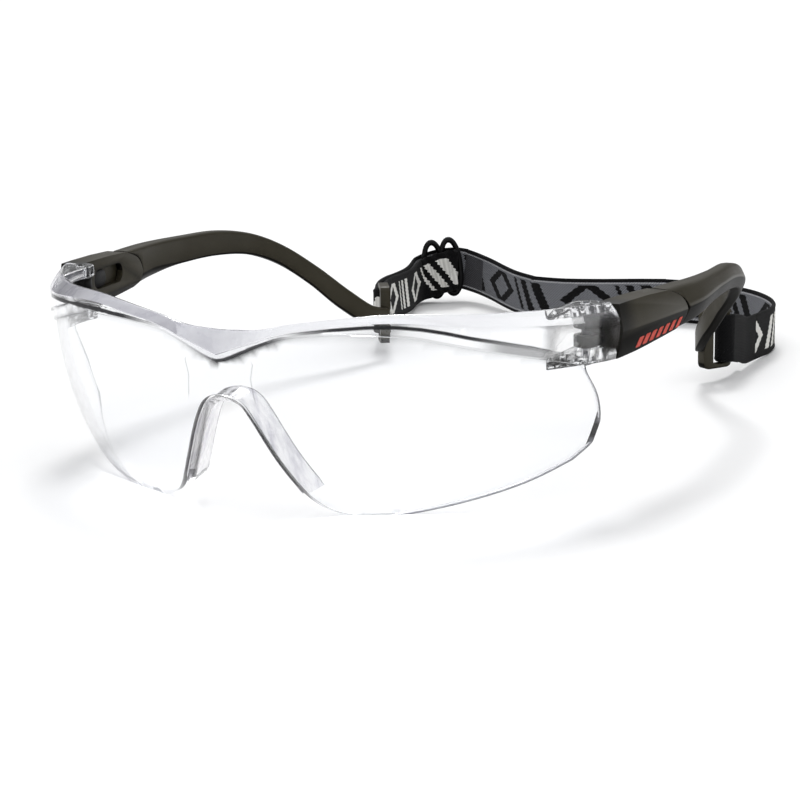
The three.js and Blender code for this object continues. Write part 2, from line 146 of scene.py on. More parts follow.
class Nodes:
    """Short calls for making the node tree of a material or a world."""

    def __init__(self, owner):
        owner.use_nodes = True
        self.owner = owner
        self.tree = owner.node_tree
        self.tree.nodes.clear()

    def new(self, kind, **values):
        node = self.tree.nodes.new(kind)
        for key, value in values.items():
            setattr(node, key, value)
        return node

    def link(self, a, b):
        self.tree.links.new(a, b)

    def put(self, socket, value):
        if isinstance(value, bpy.types.NodeSocket):
            self.link(value, socket)
        else:
            socket.default_value = value

    def math(self, operation, a, b=0.0, clamp=False):
        node = self.new("ShaderNodeMath", operation=operation, use_clamp=clamp)
        self.put(node.inputs[0], a)
        self.put(node.inputs[1], b)
        return node.outputs[0]

    def plus(self, a, b):
        return self.math("ADD", a, b)

    def minus(self, a, b, clamp=False):
        return self.math("SUBTRACT", a, b, clamp)

    def times(self, a, b, clamp=False):
        return self.math("MULTIPLY", a, b, clamp)

    def mix(self, factor, a, b):
        node = self.new("ShaderNodeMix", data_type="RGBA")
        self.put(node.inputs[0], factor)
        self.put(node.inputs[6], a)
        self.put(node.inputs[7], b)
        return node.outputs[2]

    def place(self):
        return self.new("ShaderNodeTexCoord").outputs["Object"]

    def stretched(self, *scale):
        """The object's coordinates, drawn out along the axes whose scale is below 1."""
        node = self.new("ShaderNodeMapping")
        node.inputs["Scale"].default_value = scale
        self.link(self.place(), node.inputs["Vector"])
        return node.outputs[0]

    def split(self, vector):
        node = self.new("ShaderNodeSeparateXYZ")
        self.link(vector, node.inputs[0])
        return node.outputs

    def marked(self, attribute):
        return self.new("ShaderNodeAttribute", attribute_name=attribute).outputs["Fac"]

    def noise(self, scale, detail=4.0, roughness=0.5, vector=None):
        node = self.new("ShaderNodeTexNoise")
        node.inputs["Scale"].default_value = scale
        node.inputs["Detail"].default_value = detail
        node.inputs["Roughness"].default_value = roughness
        self.link(vector if vector is not None else self.place(), node.inputs["Vector"])
        return node.outputs["Fac"]

    def ramp(self, value, low, high, start=0.0, end=1.0, smooth=False):
        """low where value is start, high where it is end."""
        node = self.new("ShaderNodeMapRange", interpolation_type="SMOOTHSTEP" if smooth else "LINEAR")
        for socket, number in zip(node.inputs, (value, start, end, low, high)):
            self.put(socket, number)
        return node.outputs[0]

    def bump(self, height, distance, strength):
        node = self.new("ShaderNodeBump")
        node.inputs["Strength"].default_value = strength
        node.inputs["Distance"].default_value = distance
        self.link(height, node.inputs["Height"])
        return node.outputs[0]

    def wave(self, value, pitch):
        return self.math("SINE", self.times(value, 2 * math.pi / pitch))

    def shader(self, **values):
        node = self.new("ShaderNodeBsdfPrincipled")
        for key, value in values.items():
            self.put(node.inputs[key.replace("_", " ")], value)
        return node.outputs[0]

    def layered(self, factor, first, second):
        """One shader over another, by factor."""
        node = self.new("ShaderNodeMixShader")
        for socket, source in zip(node.inputs, (factor, first, second)):
            self.link(source, socket)
        return node.outputs[0]

    def finish(self, surface, output="ShaderNodeOutputMaterial"):
        self.link(surface, self.new(output).inputs["Surface"])
        return self.owner


def material_nodes(name):
    return Nodes(bpy.data.materials.new(name))


def edge_wear(n):
    """1 on worn convex edges, 0 elsewhere."""
    return n.ramp(n.new("ShaderNodeNewGeometry").outputs["Pointiness"], 0.0, 1.0, 0.52, 0.6)


GRAIN_SIZE, GRAIN_HEIGHT = 0.00035, 0.00005  # metres


def moulded_plastic(name, colour, worn, shade_tone, roughness):
    """Moulded plastic with a spark-eroded grain, polished edges and a few long scratches.

    worn is the tone of rubbed edges; the third tone is a painted shade, laid on faces that look down and on
    the sleeve's front end.
    """
    n = material_nodes(name)
    tone = n.mix(n.ramp(n.noise(90.0, 3.0), 0.0, 0.5, 0.35, 0.75), (*colour, 1), (*worn, 1))
    tint = n.mix(n.times(edge_wear(n), 0.6), tone, (*worn, 1))
    height = n.split(n.new("ShaderNodeNewGeometry").outputs["Normal"])["Z"]
    # Painted shade: faces that look down and the sleeve's front end are mixed towards the third, darker tone.
    front = n.ramp(n.split(n.place())["Y"], 0.9, 0.0, *FRONT_SHADE, True)
    down = n.ramp(height, 1.0, 0.0, -0.2, 0.0, True)
    tint = n.mix(n.math("MAXIMUM", down, front), tint, (*shade_tone, 1))
    speckle = n.noise(1.0 / GRAIN_SIZE, 2.0, 0.6)
    rough = n.plus(n.ramp(speckle, -0.05, 0.05), roughness)
    rough = n.plus(rough, n.ramp(n.noise(35.0, 4.0), -0.04, 0.05))
    scratches = n.noise(260.0, 2.0, 0.5, n.stretched(1.0, 0.06, 1.0))
    return n.finish(n.shader(
        Base_Color=tint,
        Roughness=n.minus(rough, n.ramp(scratches, 0.0, 0.08, 0.66, 0.74)),
        Normal=n.bump(speckle, GRAIN_HEIGHT, 0.3),
        # Faces that look down reflect less, a painted shade that keeps the bright floor out of them.
        Specular_IOR_Level=n.ramp(height, 0.015, 0.16, -0.2, 0.1, True),
    ))


# The colour of the painted refraction lines in the clear plastic.
REFRACTED_BLACK = (0.012, 0.012, 0.014, 1)
REFRACTION_CONTRAST, REFRACTION_COVER, FROST_AND_SHEEN_COVER = 1.6, 0.85, 0.82
POLYCARBONATE_IOR, SOFT_IOR = 1.586, 1.43


def clear_plastic(name, tint, shade, dense_shade, roughness, haze, ior, streak=None):
    """Clear moulded plastic that lets the lamps through; shade and dense_shade are the colours of its shadow.

    Vertex attributes paint dark lines of refraction along grooves and edges, make a facet satin with a painted
    sheen, thicken the shadow, and thin out refraction and reflection as a painted shade; streak is the colour
    of upright flow lines.
    """
    n = material_nodes(name)
    smear = n.ramp(n.noise(26.0, 5.0, 0.6), 0.0, haze, 0.45, 0.8)
    # Painted refraction: the plastic turns dark along grooves and edges, where real refraction would show the
    # dark surroundings.
    painted_refraction = n.math("POWER", n.marked("painted_refraction"), REFRACTION_CONTRAST, clamp=True)
    colour = n.mix(painted_refraction, (*tint, 1), REFRACTED_BLACK)
    if streak is not None:
        lines = n.noise(420.0, 3.0, 0.5, n.stretched(1.0, 1.0, 0.1))
        colour = n.mix(n.ramp(lines, 0.0, 0.85, 0.46, 0.66), colour, (*streak, 1))
    glass = n.shader(
        Base_Color=colour, Roughness=n.plus(smear, roughness), Transmission_Weight=1.0, IOR=ior,
        Normal=n.bump(n.noise(60.0, 2.0), 0.00004, 0.25))
    cloud = n.noise(240.0, 4.0)
    # The satin's lilac grey is partly the facet's satin finish and partly a painted sheen.
    pearl = n.mix(n.ramp(cloud, 0.0, 1.0, 0.3, 0.7), (0.56, 0.555, 0.62, 1), (0.70, 0.70, 0.75, 1))
    satin = n.shader(
        Base_Color=pearl, Roughness=n.ramp(cloud, 0.22, 0.34), Normal=n.bump(cloud, 0.00003, 0.3))
    # A dark shader laid over the same lines, as painted refraction.
    dark = n.shader(
        Base_Color=n.mix(cloud, REFRACTED_BLACK, (0.03, 0.03, 0.034, 1)),
        Roughness=n.ramp(cloud, 0.4, 0.6), Specular_IOR_Level=0.1)
    bare = n.new("ShaderNodeBsdfTransparent").outputs[0]
    plastic = n.layered(n.times(n.marked("frost_and_sheen"), FROST_AND_SHEEN_COVER, clamp=True), glass, satin)
    opened = n.layered(n.marked("bare"), plastic, bare)
    lined = n.layered(n.times(painted_refraction, REFRACTION_COVER, clamp=True), opened, dark)
    through = n.new("ShaderNodeBsdfTransparent")
    n.link(n.mix(n.marked("dense"), (*shade, 1), (*dense_shade, 1)), through.inputs["Color"])
    shadow_ray = n.new("ShaderNodeLightPath").outputs["Is Shadow Ray"]
    return n.finish(n.layered(shadow_ray, lined, through.outputs[0]))


def print_ink(name, colour):
    """Pad-printed ink: slightly mottled, worn through in specks."""
    n = material_nodes(name)
    specks = n.ramp(n.noise(1500.0, 3.0), 0.0, 1.0, 0.35, 0.75)
    tint = n.mix(specks, (*colour, 1), tuple(c * 0.7 for c in colour) + (1,))
    return n.finish(n.shader(
        Base_Color=tint, Roughness=n.ramp(specks, 0.4, 0.6), Normal=n.bump(specks, 0.00002, 0.3),
        Specular_IOR_Level=0.25))


def dark_metal(name):
    """Blackened steel pin, brushed round, with bright rubbed spots."""
    n = material_nodes(name)
    rings = n.new("ShaderNodeTexWave", bands_direction="Z")
    rings.inputs["Scale"].default_value = 900.0
    rings.inputs["Distortion"].default_value = 2.0
    n.link(n.place(), rings.inputs["Vector"])
    brushed = rings.outputs["Fac"]
    spots = n.ramp(n.noise(700.0, 3.0), 0.0, 1.0, 0.5, 0.7)
    return n.finish(n.shader(
        Base_Color=n.mix(spots, (0.035, 0.035, 0.04, 1), (0.16, 0.16, 0.17, 1)), Metallic=1.0,
        Roughness=n.ramp(brushed, 0.25, 0.4), Normal=n.bump(brushed, 0.00002, 0.3)))


TWILL_PITCH, CROSS_PITCH, RIB_PITCH, CORD_PITCH = 0.00082, 0.00082 * 0.62, 0.0011, 0.00075
TOOTH_PITCH, TOOTH_SIZE = 0.0012, 0.00022
# The motif's leaning bars as (place, half width) and its hollow lozenge, in metres along the strap.
MOTIF_BARS = ((0.0040, 0.00165), (0.0090, 0.00115), (0.0128, 0.0006))
BAR_SLOPE = 0.5
LOZENGE_PLACE, LOZENGE_HALF, LOZENGE_WALL = 0.0236, 0.0082, 0.0036
# Places across the webbing, where 1 is its edge.
MOTIF_EDGE, LINE_START, LINE_END, SELVEDGE_START = 0.7, 0.77, 0.83, 0.85


def motif_mask(n, along, width, reach):
    """1 on leaning bars and hollow lozenges that repeat along the strap, with saw-toothed edges."""
    spot = n.plus(along, n.times(n.wave(width, TOOTH_PITCH), TOOTH_SIZE))
    cell = n.times(n.math("FRACT", n.math("DIVIDE", spot, MOTIF_PERIOD)), MOTIF_PERIOD)

    def bar(place, half):
        lean = n.minus(n.minus(cell, place), n.times(width, BAR_SLOPE))
        return n.math("LESS_THAN", n.math("ABSOLUTE", lean), half)

    def lozenge(place, half, wall):
        distance = n.plus(n.math("ABSOLUTE", n.minus(cell, place)), n.times(reach, half))
        return n.minus(n.math("LESS_THAN", distance, half), n.math("LESS_THAN", distance, half - wall))

    shapes = [bar(*numbers) for numbers in MOTIF_BARS]
    shapes.append(lozenge(LOZENGE_PLACE, LOZENGE_HALF, LOZENGE_WALL))
    motif = shapes[0]
    for shape in shapes[1:]:
        motif = n.math("MAXIMUM", motif, shape)
    return motif


def webbing_material(name):
    """Elastic jacquard webbing, by the attribute weave.

    It holds metres along, -1 to 1 across, and the face: 1 outer, -1 inner, and twice that without the motif.
    """
    n = material_nodes(name)
    weave = n.new("ShaderNodeAttribute", attribute_name="weave")
    along, across, face = n.split(weave.outputs["Vector"])
    reach = n.math("ABSOLUTE", across)
    width = n.times(across, HALF_WIDTH * MM)
    # Threads: a diagonal twill on the inner face, rows of plain weave on the outer one.
    twill = n.wave(n.plus(along, width), TWILL_PITCH)
    cross = n.wave(n.minus(along, width), CROSS_PITCH)
    thread = n.plus(n.times(twill, 0.5), n.times(cross, 0.25))
    ribs = n.wave(along, RIB_PITCH)
    cords = n.wave(width, CORD_PITCH)
    inside = n.math("LESS_THAN", reach, MOTIF_EDGE)
    plain = n.math("GREATER_THAN", n.math("ABSOLUTE", face), 1.5)
    motif = n.times(motif_mask(n, along, width, reach), n.minus(inside, plain, clamp=True))
    selvedge = n.math("GREATER_THAN", reach, SELVEDGE_START)
    line = n.times(n.math("GREATER_THAN", reach, LINE_START), n.math("LESS_THAN", reach, LINE_END))
    wear = n.ramp(n.noise(120.0, 4.0), 0.75, 1.15)
    flecked = n.times(n.ramp(thread, 0.45, 1.3, -0.75, 0.75), wear)
    ribbed = n.times(n.ramp(ribs, 0.78, 1.0, -1.0, 1.0), wear)

    def lit(colour, amount):
        shade = n.new("ShaderNodeVectorMath", operation="SCALE")
        shade.inputs[0].default_value = colour
        n.link(amount, shade.inputs["Scale"])
        return shade.outputs[0]

    black = lit((0.006, 0.006, 0.0065), wear)
    ground = n.mix(plain, lit((0.20, 0.205, 0.222), flecked), lit((0.075, 0.075, 0.082), flecked))
    inner = n.mix(line, n.mix(motif, ground, black), lit((0.46, 0.46, 0.48), flecked))
    outer = n.mix(motif, black, lit((0.92, 0.91, 0.87), ribbed))
    colour = n.mix(selvedge, n.mix(n.math("GREATER_THAN", face, 0.0), inner, outer), black)
    height = n.plus(thread, n.times(n.plus(ribs, cords), 0.22))
    return n.finish(n.shader(
        Base_Color=colour, Roughness=n.ramp(thread, 0.78, 0.94, -0.75, 0.75),
        Normal=n.bump(height, 0.00012, 0.65), Sheen_Weight=0.03, Sheen_Roughness=0.5, Specular_IOR_Level=0.1))


CLEAR = clear_plastic(
    "clear_polycarbonate", (0.965, 0.972, 0.985), (0.9, 0.905, 0.915), (0.42, 0.43, 0.45), 0.0, 0.02,
    POLYCARBONATE_IOR)
SOFT_CLEAR = clear_plastic(
    "soft_clear", (0.93, 0.925, 0.93), (0.72, 0.72, 0.72), (0.5, 0.5, 0.5), 0.09, 0.06, SOFT_IOR,
    (0.50, 0.49, 0.56))
# The third colour of each is the painted shade of faces that look down and of the sleeve's front end.
SATIN = moulded_plastic(
    "satin_olive_black", (0.034, 0.0295, 0.0185), (0.052, 0.0465, 0.033), (0.0048, 0.0045, 0.0038), 0.36)
BLACK = moulded_plastic(
    "black_plastic", (0.0045, 0.0045, 0.0048), (0.014, 0.014, 0.015), (0.003, 0.003, 0.003), 0.34)
RED_PRINT = print_ink("red_print", (0.62, 0.036, 0.011))
STEEL = dark_metal("dark_steel")
WEBBING = webbing_material("elastic_webbing")


# ---- meshes


def new_object(name, data):
    piece = bpy.data.objects.new(name, data)
    bpy.context.scene.collection.objects.link(piece)
    return piece


def object_of(bm, name):
    """A mesh object from a bmesh, which is freed."""
    bmesh.ops.recalc_face_normals(bm, faces=bm.faces)
    mesh = bpy.data.meshes.new(name)
    bm.to_mesh(mesh)
    bm.free()
    return new_object(name, mesh)


def add(name, bm, material, smooth=32.0):
    """A finished piece, smooth where its faces meet at less than that angle."""
    piece = object_of(bm, name)
    piece.data.materials.append(material)
    piece.data.shade_smooth()
    piece.data.set_sharp_from_angle(angle=math.radians(smooth))
    return piece


def loft(bm, rings, closed=False):
    """Joins rings of equal length with quads; the ends are capped, or the last ring meets the first."""
    made = [[bm.verts.new(p) for p in ring] for ring in rings]
    pairs = list(zip(made, made[1:])) + ([(made[-1], made[0])] if closed else [])
    for a, b in pairs:
        for i in range(len(a)):
            j = (i + 1) % len(a)
            bm.faces.new((a[i], a[j], b[j], b[i]))
    if not closed:
        bm.faces.new(made[0][::-1])
        bm.faces.new(made[-1])
    return made


def solid(rings):
    """The closed solid between two or more rings."""
    bm = bmesh.new()
    loft(bm, rings)
    bmesh.ops.recalc_face_normals(bm, faces=bm.faces)
    return bm


def prism(outline, low, high, side=1):
    """An outline in X and Y, or its mirror image, drawn along Z."""
    return solid([[(side * x, y, z) for x, y in outline] for z in (low, high)])


def slab(outline, near, far):
    """An outline in Y and Z drawn along X."""
    return solid([[(x, y, z) for y, z in outline] for x in (near, far)])


def rounded(points, radius, steps=3):
    """A closed polygon of 2-D points with its corners rounded."""
    pts = [Vector(p) for p in points]
    result = []
    for i, corner in enumerate(pts):
        before = pts[i - 1] - corner
        after = pts[(i + 1) % len(pts)] - corner
        reach = min(radius, before.length * 0.45, after.length * 0.45)
        a = corner + before.normalized() * reach
        b = corner + after.normalized() * reach
        for k in range(steps + 1):
            t = k / steps
            result.append(a.lerp(corner, t).lerp(corner.lerp(b, t), t))
    return result


def soften(bm, width, angle, segments, **options):
    """Rounds the edges where two faces meet at more than that angle."""
    sharp = [e for e in bm.edges if e.is_manifold and e.calc_face_angle(0.0) > math.radians(angle)]
    bmesh.ops.bevel(bm, geom=sharp, offset=width, segments=segments, profile=0.5, affect="EDGES", **options)


def circle(x, y, radius, count=24):
    angles = [i * 2 * math.pi / count for i in range(count)]
    return [(x + radius * math.cos(a), y + radius * math.sin(a)) for a in angles]


def refined(node, name, material, width, angle=24.0, segments=2):
    """A piece made from a CAD node's own shape, with flat faces joined up and its edges rounded."""
    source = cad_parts[node]
    bm = bmesh.new()
    bm.from_mesh(source.data)
    bmesh.ops.transform(bm, matrix=source.matrix_world, verts=bm.verts)
    bmesh.ops.remove_doubles(bm, verts=bm.verts, dist=2e-6)
    bmesh.ops.dissolve_limit(
        bm, angle_limit=math.radians(0.6), verts=bm.verts, edges=bm.edges, use_dissolve_boundaries=False)
    soften(bm, width * MM, angle, segments, offset_type="OFFSET", clamp_overlap=True, miter_outer="ARC")
    piece = add(name, bm, material)
    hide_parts(node)
    return piece


# ---- the clear front

LENS_BOTTOM = [(0, -31), (12, -31.2), (20.5, -32.2), (27, -32.3), (38.7, -30.6), (54.5, -27.2), (65.5, -23.6)]
LENS_TEMPLE = [(69.6, -20.4), (69.8, -16.4), (67.8, -11.6), (64.8, -7.6)]
BROW_TOP = [(0, 1.8), (7, 2.2), (13, 3.4), (23, 4.6), (31, 5), (44, 4.5), (58, 4.1), (75, 3.8)]
BROW_BOTTOM = [
    (0, -3.2), (2, -2.7), (9.5, 0.5), (16, 1.6), (24, 1.8), (32, 1.2), (42, -1), (54, -3.6), (64, -5.8),
]
NOSE_EDGE = [
    (0, 27.6), (2.7, 27.1), (4.9, 25.6), (6.9, 22.3), (8.8, 18.3), (11, 13.4), (13.7, 8.1), (15.8, 4.6),
    (18.2, 2.2), (20.8, 0.8), (23.5, 0),
]
# Width of the brow's sloping top facet and depth of its groove below the top edge, by azimuth.
FACET = [
    (0, 4.7), (5, 2.6), (9, 1.5), (13, 1.3), (20, 1.4), (26, 1.45), (32, 1.7), (45, 2.6), (60, 3.3),
    (75, 3.6),
]
GROOVE = [
    (0, 5.0), (5, 3.0), (9, 1.9), (13, 1.75), (20, 1.8), (25, 1.95), (30, 2.3), (34, 2.8), (38, 3.6),
    (42, 4.7), (46, 5.6), (52.5, 7.3), (58, 9.2), (75, 9.4),
]
LOWER_BAND = 0.8  # the least distance from the groove to the brow's lower edge, in millimetres
# How dark the painted refraction lines along the groove and the lower edge of the brow are, by azimuth.
GROOVE_REFRACTION = [
    (-66, 0), (-62, 0.2), (-40, 0.2), (-36, 0), (10, 0), (15, 0.7), (20, 1), (42, 1), (48, 0.8), (58, 0.65),
    (66, 0),
]
EDGE_REFRACTION = [
    (-66, 0.25), (-58, 0.3), (-20, 0.25), (-8, 0.3), (-2, 0.7), (0, 1), (9, 0.95), (13, 0.45), (20, 0.3),
    (60, 0.34), (66, 0.2),
]
# The dark band is painted refraction.
REFRACTION_BAND_WIDTH, REFRACTION_BAND_FADE = 0.45, 0.8  # the dark band below the groove and above the lower edge, in millimetres
SHADE_WIDTH, BROAD_SHADE_STRENGTH = 2.2, 0.62  # the broad shade below the groove near the +X hinge
# The refracted line of the brow's lower step on the -X side: elevation and strength by azimuth.
STEP_LINE = [(-60, 0.8), (-52, 1.2), (-44.6, 1.7), (-36, 2.2), (-27, 2.5), (-19, 2.35), (-10, 1.75)]
STEP_LINE_STRENGTH = [(-56, 0), (-50, 0.7), (-44, 1), (-20, 1), (-16, 0.7), (-12, 0.4), (-9, 0)]
STEP_LINE_HALF, STEP_LINE_CORE = 0.62, 0.34
# The faint upright lines of painted refraction between brow and nose: azimuth by elevation, on both sides.
BRIDGE_LINE = [(-9.2, 6.2), (-6, 5.8), (-3.4, 6.3)]
BRIDGE_LINE_HALF, BRIDGE_LINE_STRENGTH = 0.24, 0.5
FIELD_STEP_X, FIELD_STEP_Y, FIELD_CLEARANCE = 1.45, 1.2, 0.75  # the points between the lines, in degrees
RIM_STEPS, RIM_BULGE = (0.1, 0.3, 0.5, 0.7, 0.9), 0.16


def degrees_of(x, z):
    """Azimuth and elevation, in degrees, of the lens's point in front of x, z."""
    elevation = math.asin((z - LENS_CENTRE_Z) / LENS_RADIUS)
    azimuth = math.asin(max(-1.0, min(1.0, x / (LENS_RADIUS * math.cos(elevation)))))
    return math.degrees(azimuth), math.degrees(elevation)


def on_sphere(azimuth, elevation, radius):
    a, e = math.radians(azimuth), math.radians(elevation)
    return Vector((
        radius * math.cos(e) * math.sin(a),
        LENS_RADIUS - radius * math.cos(e) * math.cos(a),
        LENS_CENTRE_Z + radius * math.sin(e),
    ))


BROW_TOP_LINE = spline(BROW_TOP, 60)
BROW_BOTTOM_LINE = [*spline(BROW_BOTTOM, 56), Vector((75, -5.8))]
DEGREE = math.radians(1) * LENS_RADIUS  # millimetres on the lens per degree
STEP_HALF = 0.12  # half the width of a moulded step, in millimetres


def brow_lines(azimuth):
    """The top edge's elevation, and the facet's, groove's and lower edge's depth below it in millimetres."""
    azimuth = abs(azimuth)
    top = lookup(BROW_TOP_LINE, azimuth)
    end = (top - lookup(BROW_BOTTOM_LINE, azimuth)) * DEGREE
    return top, lookup(FACET, azimuth), min(lookup(GROOVE, azimuth), end - LOWER_BAND), end


def outer_radius(azimuth, elevation):
    """The front's outer radius: the brow's facet, upper band, lower band, and then the lens."""
    top, facet, groove, end = brow_lines(azimuth)
    depth = (top - elevation) * DEGREE
    if depth <= facet:
        return BROW_EDGE_RADIUS + (BROW_RADIUS - BROW_EDGE_RADIUS) * max(0.0, depth / facet) ** 0.8
    for step, above, below in (
        (groove, BROW_RADIUS, BROW_STEP_RADIUS), (end, BROW_STEP_RADIUS, LENS_RADIUS),
    ):
        if depth < step - STEP_HALF:
            return above
        if depth < step + STEP_HALF:
            t = (depth - step + STEP_HALF) / (2 * STEP_HALF)
            return above + (below - above) * t
    return LENS_RADIUS


def inner_point(azimuth, elevation):
    """The inner face's point: radial at the sides, straight behind the outer one at the nose."""
    radial = on_sphere(azimuth, elevation, LENS_INNER)
    outer = on_sphere(azimuth, elevation, LENS_RADIUS)
    deep = max(0.0, LENS_INNER ** 2 - outer.x ** 2 - (outer.z - LENS_CENTRE_Z) ** 2)
    straight = Vector((outer.x, LENS_RADIUS - math.sqrt(deep), outer.z))
    share = (1 - smoothstep(18, 32, abs(azimuth))) * smoothstep(3.5, -2, elevation)
    return LENS_CENTRE + (radial.lerp(straight, share) - LENS_CENTRE).normalized() * LENS_INNER


def front_outline():
    """The whole front's outline in degrees, counter-clockwise as the wearer's world sees it."""
    nose = [Vector(degrees_of(x, z)) for x, z in spline(NOSE_EDGE, 50)]
    foot = nose[-1]
    bottom = [p for p in spline(LENS_BOTTOM, 52) if p.x > foot.x + 0.7]
    temple = spline([bottom[-1], *LENS_TEMPLE, (64.0, -6.0)], 20)[1:]
    top = [p for p in BROW_TOP_LINE if p.x <= 74][::-1]
    end = [Vector((74, -5.8)), Vector((74, 0.0))]
    right = [*nose, *bottom, *temple, *[Vector((64 + i, -5.85)) for i in range(2, 10, 2)], *end, *top]
    left = [Vector((-p.x, p.y)) for p in right[1:-1]][::-1]
    return right + left


def front_plan():
    """Triangles of the front in degrees: outline, moulded steps and an even field of points between."""
    points = front_outline()
    edges = [(i, (i + 1) % len(points)) for i in range(len(points))]
    brow = [(i * 1.25, *brow_lines(i * 1.25)) for i in range(-59, 60)]

    def chain(row):
        first = len(points)
        points.extend(row)
        edges.extend((i, i + 1) for i in range(first, len(points) - 1))

    def brow_chain(depth_of):
        chain([Vector((a, top - depth_of(*depths) / DEGREE)) for a, top, *depths in brow])

    brow_chain(lambda facet, groove, end: facet)
    brow_chain(lambda facet, groove, end: max(groove - 0.4, facet + 0.02))
    for offset in (-STEP_HALF, STEP_HALF, REFRACTION_BAND_WIDTH, REFRACTION_BAND_FADE):
        brow_chain(lambda facet, groove, end: groove + offset)
    for offset in (-REFRACTION_BAND_FADE, -REFRACTION_BAND_WIDTH, -STEP_HALF, STEP_HALF):
        brow_chain(lambda facet, groove, end: end + offset)
    for offset in (-STEP_LINE_HALF, -STEP_LINE_CORE, 0, STEP_LINE_CORE, STEP_LINE_HALF):
        chain([Vector((a, lookup(STEP_LINE, a) + offset / DEGREE)) for a in range(-60, -9)])
    heights = [-9.2 + i * 0.58 for i in range(11)]
    for side in (-1, 1):
        for offset in (-BRIDGE_LINE_HALF, 0, BRIDGE_LINE_HALF):
            chain([Vector((side * lookup(BRIDGE_LINE, e) + offset / DEGREE, e)) for e in heights])
    lines = list(points)
    for row in range(-32, 5):
        for column in range(-50, 51):
            spot = Vector((column * FIELD_STEP_X + (row % 2) * 0.7, row * FIELD_STEP_Y))
            if min((spot - p).length for p in lines) > FIELD_CLEARANCE:
                points.append(spot)
    verts, _, faces, *_ = delaunay_2d_cdt(points, edges, [], 1, 1e-5)
    return verts, faces


def front_shell():
    """The front as one closed shell: outer face, inner face and a rounded rim between them."""
    verts, faces = front_plan()
    bm = bmesh.new()
    outer, inner = [], []
    for v in verts:
        p = on_sphere(v.x, v.y, outer_radius(v.x, v.y))
        q = inner_point(v.x, v.y)
        p.z, q.z = max(p.z, 0.0), max(q.z, 0.0)
        outer.append(bm.verts.new(p))
        inner.append(bm.verts.new(q))
    rim = {}
    for face in faces:
        bm.faces.new([outer[i] for i in face])
        bm.faces.new([inner[i] for i in reversed(face)])
        for a, b in zip(face, [*face[1:], face[0]]):
            if not rim.pop((b, a), False):
                rim[(a, b)] = True
    bulge = {}
    for a, b in rim:
        along = outer[b].co - outer[a].co
        through = inner[a].co - outer[a].co
        out = through.cross(along)
        if out.length > 0:
            for i in (a, b):
                bulge[i] = bulge.get(i, Vector((0, 0, 0))) + out.normalized()
    between = {}
    for i, out in bulge.items():
        row = [outer[i]]
        for t in RIM_STEPS:
            place = outer[i].co.lerp(inner[i].co, t) + out.normalized() * -RIM_BULGE * (1 - (2 * t - 1) ** 2)
            place.z = max(place.z, 0.0)
            row.append(bm.verts.new(place))
        between[i] = [*row, inner[i]]
    for a, b in rim:
        for k in range(len(RIM_STEPS) + 1):
            bm.faces.new((between[a][k], between[a][k + 1], between[b][k + 1], between[b][k]))
    cut = bmesh.ops.bisect_plane(
        bm, geom=[*bm.verts, *bm.edges, *bm.faces], plane_co=(0, END_FACE, 0), plane_no=(0, 1, 0),
        clear_outer=True, dist=1e-5)
    edges = [e for e in cut["geom_cut"] if isinstance(e, bmesh.types.BMEdge) and e.is_boundary]
    bmesh.ops.edgeloop_fill(bm, edges=edges)
    bmesh.ops.triangulate(bm, faces=[f for f in bm.faces if len(f.verts) > 4])
    return bm


EAR_START, EAR_RADIUS, BORE_RADIUS = 35, 3.2, 1.2
EARS = ((31.6, 34.2), (41.7, 44.3))
BORE_LOW, BORE_HIGH = 30, 46
HINGE_FRONT, HINGE_FOOT, HINGE_FACE = 34, 31, 73.85  # the ears' zone: behind, above and outside these


def ear_plan(height):
    """Plan of a hinge ear: it grows out of the shell and ends round about the pin."""
    shell = math.sqrt((LENS_RADIUS - 0.9) ** 2 - (height - LENS_CENTRE_Z) ** 2)
    points = []
    for i in range(9):
        y = EAR_START + (END_FACE - EAR_START) * i / 8
        points.append((math.sqrt(shell ** 2 - (LENS_RADIUS - y) ** 2), y))
    start = math.asin((END_FACE - PIN_Y) / EAR_RADIUS)
    for i in range(15):
        angle = start + (math.pi - start) * i / 14
        points.append((PIN_X + EAR_RADIUS * math.cos(angle), PIN_Y + EAR_RADIUS * math.sin(angle)))
    points.extend([(PIN_X - EAR_RADIUS, 41.5), (60.2, EAR_START)])
    return points


def ear(low, high, side):
    """One ear with softened edges, without its bore."""
    bm = prism(ear_plan((low + high) / 2), low, high, side)
    soften(bm, 0.25, 60, 2)
    return bm


def combine(base, tools, operation):
    """The base object's mesh joined with, or cut by, the tool objects, which are removed."""
    for tool in tools:
        modifier = base.modifiers.new("join", "BOOLEAN")
        modifier.operation = operation
        modifier.solver = "EXACT"
        modifier.object = tool
    bpy.context.view_layer.update()
    evaluated = base.evaluated_get(bpy.context.evaluated_depsgraph_get())
    bm = bmesh.new()
    bm.from_mesh(evaluated.to_mesh())
    evaluated.to_mesh_clear()
    for used in (base, *tools):
        mesh = used.data
        bpy.data.objects.remove(used)
        bpy.data.meshes.remove(mesh)
    return bm


